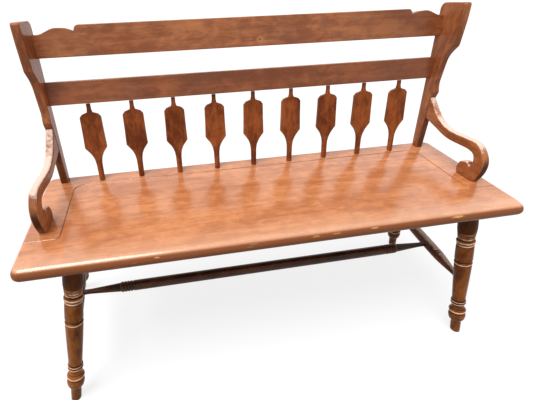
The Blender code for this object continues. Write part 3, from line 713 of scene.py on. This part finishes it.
# the pale colour stands for rubbed edges and the painted highlight on the top
arm_maple = stained_maple("arm_maple", 1, rgb(0.52, 0.200, 0.074), rgb(0.29, 0.095, 0.032),
                          rgb(0.97, 0.70, 0.58), gloss=0.20, figure=1.3, shine=0.15)
for hand, side in (("left", -1), ("right", 1)):
    outline = [Vector((0, SEAT_FRONT + u, SEAT_TOP + v)) for u, v in rounded(ARM_OUTLINE)]
    arm = sawn_board(f"{hand}_arm_board", outline, ACROSS, BOARD_THICKNESS)
    ease_edges(arm, ACROSS, ARM_EDGE, lambda n: 0.55 + 0.45 * max(0.0, n.z))
    mark_wear_and_light(arm, arm_wear_and_light)
    smooth(arm)
    for vertex in arm.data.vertices:
        toe_out = ARM_TOE_OUT * (ARM_JOINT - (vertex.co.y - SEAT_FRONT))
        vertex.co.x += side * (POST_INSIDE + BOARD_THICKNESS / 2 + toe_out) - BOARD_THICKNESS / 2
    hand_over(arm, arm_maple, f"{hand}_arm")


# ---------------------------------------------------------------------------------------------
# Posts. Two maple boards set fore and aft hold the back: a straight foot in the seat, a small step
# over the end of the arm, a narrow neck that leans back, and an ear that reaches forwards at the
# top. They are tenoned into the seat, and their edges are lightly rounded.
# ---------------------------------------------------------------------------------------------
LEAN = math.radians(9.65)
BACK_FOOT = 0.3485          # u of the back of the posts at the seat
POST_EDGE = 0.0026
DARK_FRONT_TOP = SEAT_TOP + 0.16
EAR_BOTTOM = SEAT_TOP + 0.2
POST_OUTLINE = (            # (u, v, rounding)
    (0.3260, 0.0003, 0), (0.3395, 0.1490, 0.003), (0.3350, 0.1660, 0.001), (0.3445, 0.1880, 0.040),
    (0.3445, 0.2600, 0.050), (0.3225, 0.2900, 0.006), (0.3260, 0.3500, 0.200), (0.3320, 0.3870, 0.007),
    (0.4140, 0.3805, 0.015), (0.34855, 0.0003, 0),
)
post_edge = board_wear(ACROSS, 0.58)


def post_wear_and_shade(spot, normal):
    """Rubbed edges, and painted shade on the narrow front faces low down and under the ear."""
    # painted shade where the posts face forwards below the arm and face down under the ear
    low_front = 0.50 if normal.y < -0.35 and spot.z < DARK_FRONT_TOP else 0.0
    under_ear = 0.50 * max(0.0, -normal.z) if spot.z > EAR_BOTTOM else 0.0
    return post_edge(spot, normal) - low_front - under_ear


post_maple = stained_maple("post_maple", 2, rgb(0.500, 0.182, 0.070), rgb(0.260, 0.080, 0.028),
                           rgb(0.72, 0.42, 0.24), turn=(LEAN, 0, 0), gloss=0.18, shine=0.15)
for hand, side in (("left", -1), ("right", 1)):
    inner = side * POST_INSIDE if side > 0 else side * (POST_INSIDE + BOARD_THICKNESS)
    outline = [seat_point(inner, u, v) for u, v in rounded(POST_OUTLINE)]
    post = sawn_board(f"{hand}_post_board", outline, ACROSS, BOARD_THICKNESS)
    ease_edges(post, ACROSS, POST_EDGE, lambda n: 1.0)
    mark_wear_and_light(post, post_wear_and_shade)
    smooth(post)
    hand_over(post, post_maple, f"{hand}_post")


# ---------------------------------------------------------------------------------------------
# Rails. The crest rail and the plain rail below it are maple boards between the posts, flush with
# their back edges and held by flat tenons. The crest's top edge drops to a notch near each post
# and rises again in a low hump.
# ---------------------------------------------------------------------------------------------
RAIL_THICKNESS = 0.019
RAIL_EDGE = 0.0020
CREST_LOW = 0.3064
MID_RAIL = (0.1990, 0.2532)     # bottom and top, measured up the leaning back from the seat
RAIL_END = POST_INSIDE - CLEARANCE
CREST_END = (               # (x, distance up the back, rounding)
    (0.4235, 0.3731, 0.011), (0.4245, 0.3606, 0), (0.4420, 0.3673, 0.030), (0.4700, 0.3689, 0.040),
    (0.5010, 0.3564, 0.040), (RAIL_END, 0.3556, 0), (RAIL_END, CREST_LOW, 0),
)
MID_END = ((RAIL_END, MID_RAIL[1], 0), (RAIL_END, MID_RAIL[0], 0))
KNOT_UP = 0.325
KNOT = seat_point(0.016, BACK_FOOT + KNOT_UP * math.sin(LEAN), KNOT_UP * math.cos(LEAN))
KNOT_SQUEEZE = (90.0, 0.0, 120.0)       # one over its half length and half height
SMOKE = rgb(0.17, 0.105, 0.085)
RIGHT_END_SHADE = rgb(0.20, 0.060, 0.022)
KNOT_RING = rgb(0.72, 0.33, 0.14)
KNOT_HEART = rgb(0.20, 0.060, 0.020)


def rail_haze(spot, wood, rough, height):
    """Smoky patches in the stain where hands have been, and painted shade darkening the wood towards the
    right.
    """
    patches = spot.stretched((0.8, 1.0, 1.0)).noise(12.0, 4.0, 0.65).between(0.46, 0.72)
    wood = (patches * 0.26).colour(wood, SMOKE)
    # painted shade towards the right end, where less light falls
    wood = (spot.axis("X").between(0.12, 0.50) * 0.52).colour(wood, RIGHT_END_SHADE)
    return wood, rough + patches * 0.08, height


def crest_knot(spot, wood, rough, height):
    """A small knot near the middle of the crest, in the smoky stain of the rails."""
    wood, rough, height = rail_haze(spot, wood, rough, height)
    away = spot.stretched(KNOT_SQUEEZE, move=(-KNOT.x * KNOT_SQUEEZE[0], 0, -KNOT.z * KNOT_SQUEEZE[2]))
    swirl = spot.noise(70.0, 2.0, 0.5)
    distance = away.length() + (swirl - 0.5) * 0.6
    wood = ((1 - distance.between(0.6, 1.0)) * 0.55).colour(wood, KNOT_RING)
    wood = ((1 - distance.between(0.15, 0.35)) * 0.70).colour(wood, KNOT_HEART)
    return wood, rough, height


crest_maple = stained_maple("crest_maple", 0, rgb(0.660, 0.250, 0.098), rgb(0.340, 0.105, 0.038),
                            rgb(0.80, 0.50, 0.32), gloss=0.20, figure=1.3, shine=0.3,
                            extra=crest_knot)
# the mid rail is a darker copy of the crest's maple: painted shade, since it gets less light than the
# crest
mid_rail_shaded_maple = stained_maple("mid_rail_shaded_maple", 0, rgb(0.460, 0.155, 0.058), rgb(0.235, 0.070, 0.024),
                           rgb(0.66, 0.38, 0.22), gloss=0.20, figure=1.3, shine=0.3, extra=rail_haze)
BACKWARD = Vector((0, 1, 0))
rubbed_rail_edge = board_wear(BACKWARD, 0.60)
for name, right_end, finish in (("top_rail", CREST_END, crest_maple), ("mid_rail", MID_END, mid_rail_shaded_maple)):
    left_end = [(-x, s, ease) for x, s, ease in reversed(right_end)]
    outline = [Vector((x, -RAIL_THICKNESS, s)) for x, s in rounded(list(right_end) + left_end)]
    rail = sawn_board(f"{name}_board", outline, BACKWARD, RAIL_THICKNESS)
    ease_edges(rail, BACKWARD, RAIL_EDGE, lambda n: 1.0 if abs(n.x) < 0.95 else 0.0)
    mark_wear_and_light(rail, lambda spot, normal: 0.0 if abs(normal.x) > 0.3 else rubbed_rail_edge(spot, normal))
    smooth(rail)
    rail.location = seat_point(0, BACK_FOOT)
    rail.rotation_euler.x = -LEAN
    fix(rail)
    hand_over(rail, finish, name)


# ---------------------------------------------------------------------------------------------
# Arrow spindles. Nine maple spindles are turned to the outline of an arrow and then flattened front
# and back, so that each has a round foot, a flat blade with square shoulders and a thin round neck
# that goes into the rail above.
# ---------------------------------------------------------------------------------------------
SPINDLE_COUNT = 9
SPINDLE_PITCH = 0.1070
SPINDLE_FOOT = 0.328        # u of the middle of the spindles at the seat
NECK_RADIUS = 0.0055
ARROW_OUTLINE = (           # (distance up the spindle, half width, rounding)
    (0.0003, 0.0073, 0), (0.0120, 0.0074, 0.2), (0.0450, 0.0079, 0.06), (0.0590, 0.0100, 0.04),
    (0.0725, 0.0155, 0.04), (0.0895, 0.0285, 0.0040), (0.1300, 0.0272, 0), (0.1680, 0.0266, 0.0030),
    (0.1752, 0.0205, 0.0040), (0.1800, 0.0072, 0.0022), (0.1880, NECK_RADIUS, 0.008),
)
ARROW_SIDE = (              # (distance up the spindle, half thickness, rounding)
    (-0.0500, 0.0090, 0), (0.0380, 0.0090, 0.06), (0.0800, 0.0050, 0.10), (0.1700, 0.0050, 0.03),
    (0.1880, 0.0070, 0.03), (0.2600, 0.0080, 0),
)
rail_middle = RAIL_THICKNESS / 2 / math.cos(LEAN)
rise = Vector((0, BACK_FOOT + MID_RAIL[0] * math.sin(LEAN) - rail_middle - SPINDLE_FOOT,
               MID_RAIL[0] * math.cos(LEAN)))
spindle_lean = math.atan2(rise.y, rise.z)
spindle_maple = stained_maple("spindle_maple", 2, rgb(0.400, 0.112, 0.028), rgb(0.150, 0.034, 0.008),
                              rgb(0.45, 0.20, 0.08), turn=(spindle_lean, 0, 0), gloss=0.22,
                              figure=1.3, shine=0.10)
profile = list(ARROW_OUTLINE) + [(rise.length, NECK_RADIUS, 0)]
spindle = turned("arrow_blank", profile, Vector((0, 0, 0)), Vector((0, 0, 1)))
side_line = [(t, h, ease) for h, t, ease in ARROW_SIDE]
side_line += [(-t, h, ease) for t, h, ease in reversed(side_line)]
FLATS_WIDTH = 0.1           # wider than any spindle
outline = [Vector((-FLATS_WIDTH / 2, a, b)) for a, b in rounded(side_line)]
flats = sawn_board("flats", outline, ACROSS, FLATS_WIDTH)
modify(spindle, "BOOLEAN", object=flats, operation="INTERSECT", solver="EXACT")
bpy.data.objects.remove(flats, do_unlink=True)
smooth(spindle, angle=30)
spindle.data.attributes.remove(spindle.data.attributes["wear_and_painted_light"])
mark_wear_and_light(spindle, lambda spot, normal: 0.0)
for number in range(SPINDLE_COUNT):
    copy = spindle
    if number < SPINDLE_COUNT - 1:
        pick(spindle)
        bpy.ops.object.duplicate(linked=False)
        copy = bpy.context.object
    copy.name = f"arrow_{number + 1}"
    copy.data.name = copy.name
    copy.location = seat_point((number - (SPINDLE_COUNT - 1) / 2) * SPINDLE_PITCH, SPINDLE_FOOT)
    copy.rotation_mode = "XYZ"
    copy.rotation_euler = Euler((-spindle_lean, 0, 0))
    fix(copy)
    hand_over(copy, spindle_maple, f"spindle_{number + 1}")


# ---------------------------------------------------------------------------------------------
# Fastenings. Slotted steel wood screws hold the arms: up through the seat into each foot, and
# forwards through each post, where a maple plug covers the head.
# ---------------------------------------------------------------------------------------------
def screw_steel():
    """Zinc-plated steel, dulled and spotted with age."""
    finish = bpy.data.materials.new("screw_steel")
    finish.use_nodes = True
    tree = finish.node_tree
    shader = tree.nodes["Principled BSDF"]
    spot = Line(tree).node("ShaderNodeTexCoord", output="Object")
    spots = spot.noise(900.0, 3.0, 0.6).between(0.45, 0.70)
    shade = spots.colour(rgb(0.50, 0.49, 0.46), rgb(0.20, 0.15, 0.11))
    tree.links.new(shade.socket, shader.inputs["Base Color"])
    tree.links.new((spots * 0.3 + 0.28).socket, shader.inputs["Roughness"])
    shader.inputs["Metallic"].default_value = 1.0
    return finish


steel = screw_steel()
for name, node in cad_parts.items():
    if name.endswith("_screw"):
        for slot in node.material_slots:
            slot.material = steel
    elif name.endswith("_plug"):
        for slot in node.material_slots:
            slot.material = post_maple


# ---------------------------------------------------------------------------------------------
# Studio. A plain white floor without an end, a pale sky all round, and one broad soft light high
# up in front and to the left.
# ---------------------------------------------------------------------------------------------
SKY_LIGHT = 0.48            # what the sky gives to the bench. It is seen at full strength
KEY_LIGHT = 2.55
KEY_SPREAD = math.radians(36)
KEY_WAY = Vector((0.34, 0.14, -1.0))
FLOOR_SIZE = 60.0
FLOOR_COLOUR = rgb(0.26, 0.25, 0.24)    # what it throws back on the bench
FLOOR_SEEN = rgb(0.26, 0.26, 0.26)      # the share of it that takes the bench's shadow
FLOOR_GLOW = rgb(0.78, 0.78, 0.78)      # the rest of its white


def seen_directly(tree):
    """One where the camera sees a thing, straight or in a gloss or glass, and else nothing."""
    start = Line(tree)
    rays = [start.node("ShaderNodeLightPath", output=f"Is {kind} Ray")
            for kind in ("Camera", "Glossy", "Transmission")]
    return (rays[0] + rays[1] + rays[2]).between(0.0, 1.0)


new_piece("floor", bpy.ops.mesh.primitive_plane_add, size=FLOOR_SIZE, location=(0, 0, 0))
bpy.ops.object.mode_set(mode="OBJECT")
floor = bpy.context.object
paint = bpy.data.materials.new("white_floor")
paint.use_nodes = True
tree = paint.node_tree
shader = tree.nodes["Principled BSDF"]
shader.inputs["Roughness"].default_value = 1.0
shader.inputs["Specular IOR Level"].default_value = 0.0
seen = seen_directly(tree)
tree.links.new(seen.colour(FLOOR_COLOUR, FLOOR_SEEN).socket, shader.inputs["Base Color"])
tree.links.new(seen.colour(rgb(0.0, 0.0, 0.0), FLOOR_GLOW).socket, shader.inputs["Emission Color"])
shader.inputs["Emission Strength"].default_value = 1.0
floor.data.materials.append(paint)

world = bpy.data.worlds.new("pale_sky")
scene.world = world
world.use_nodes = True
tree = world.node_tree
sky = tree.nodes["Background"]
sky.inputs["Color"].default_value = rgb(1.0, 1.0, 1.0)
strength = seen_directly(tree) * (1.0 - SKY_LIGHT) + SKY_LIGHT
tree.links.new(strength.socket, sky.inputs["Strength"])

bpy.ops.object.light_add(type="SUN", location=(-1.5, -2.0, 3.0))
key = bpy.context.object
key.name = "key_light"
key.data.energy = KEY_LIGHT
key.data.angle = KEY_SPREAD
key.rotation_mode = "QUATERNION"
key.rotation_quaternion = KEY_WAY.to_track_quat("-Z", "Y")


# ---------------------------------------------------------------------------------------------
# Camera. A wide lens, held at eye level for someone sitting, in front of the left half of the
# seat. It looks down and slightly to the right, and its view is shifted to take in both ends.
# ---------------------------------------------------------------------------------------------
EYE = (-0.251, -0.7054, 0.920)
YAW, PITCH, ROLL = 0.156, -0.623, -0.025
LENS = 23.0454              # in millimetres
SENSOR = 36.0
SHIFT = (0.0971, 0.0102)
bpy.ops.object.camera_add(location=EYE)
camera = bpy.context.object
camera.name = "camera"
camera.data.sensor_width = SENSOR
camera.data.sensor_fit = "HORIZONTAL"
camera.data.lens = LENS
camera.data.shift_x, camera.data.shift_y = SHIFT
camera.data.clip_start = 0.01
right = Vector((math.cos(YAW), -math.sin(YAW), 0))
ahead = Vector((math.sin(YAW), math.cos(YAW), 0))
up = Vector((0, 0, 1))
look = ahead * math.cos(PITCH) + up * math.sin(PITCH)
top = up * math.cos(PITCH) - ahead * math.sin(PITCH)
camera_right = right * math.cos(ROLL) + top * math.sin(ROLL)
camera_up = top * math.cos(ROLL) - right * math.sin(ROLL)
camera.rotation_mode = "QUATERNION"
camera.rotation_quaternion = Matrix((camera_right, camera_up, -look)).transposed().to_quaternion()
scene.camera = camera
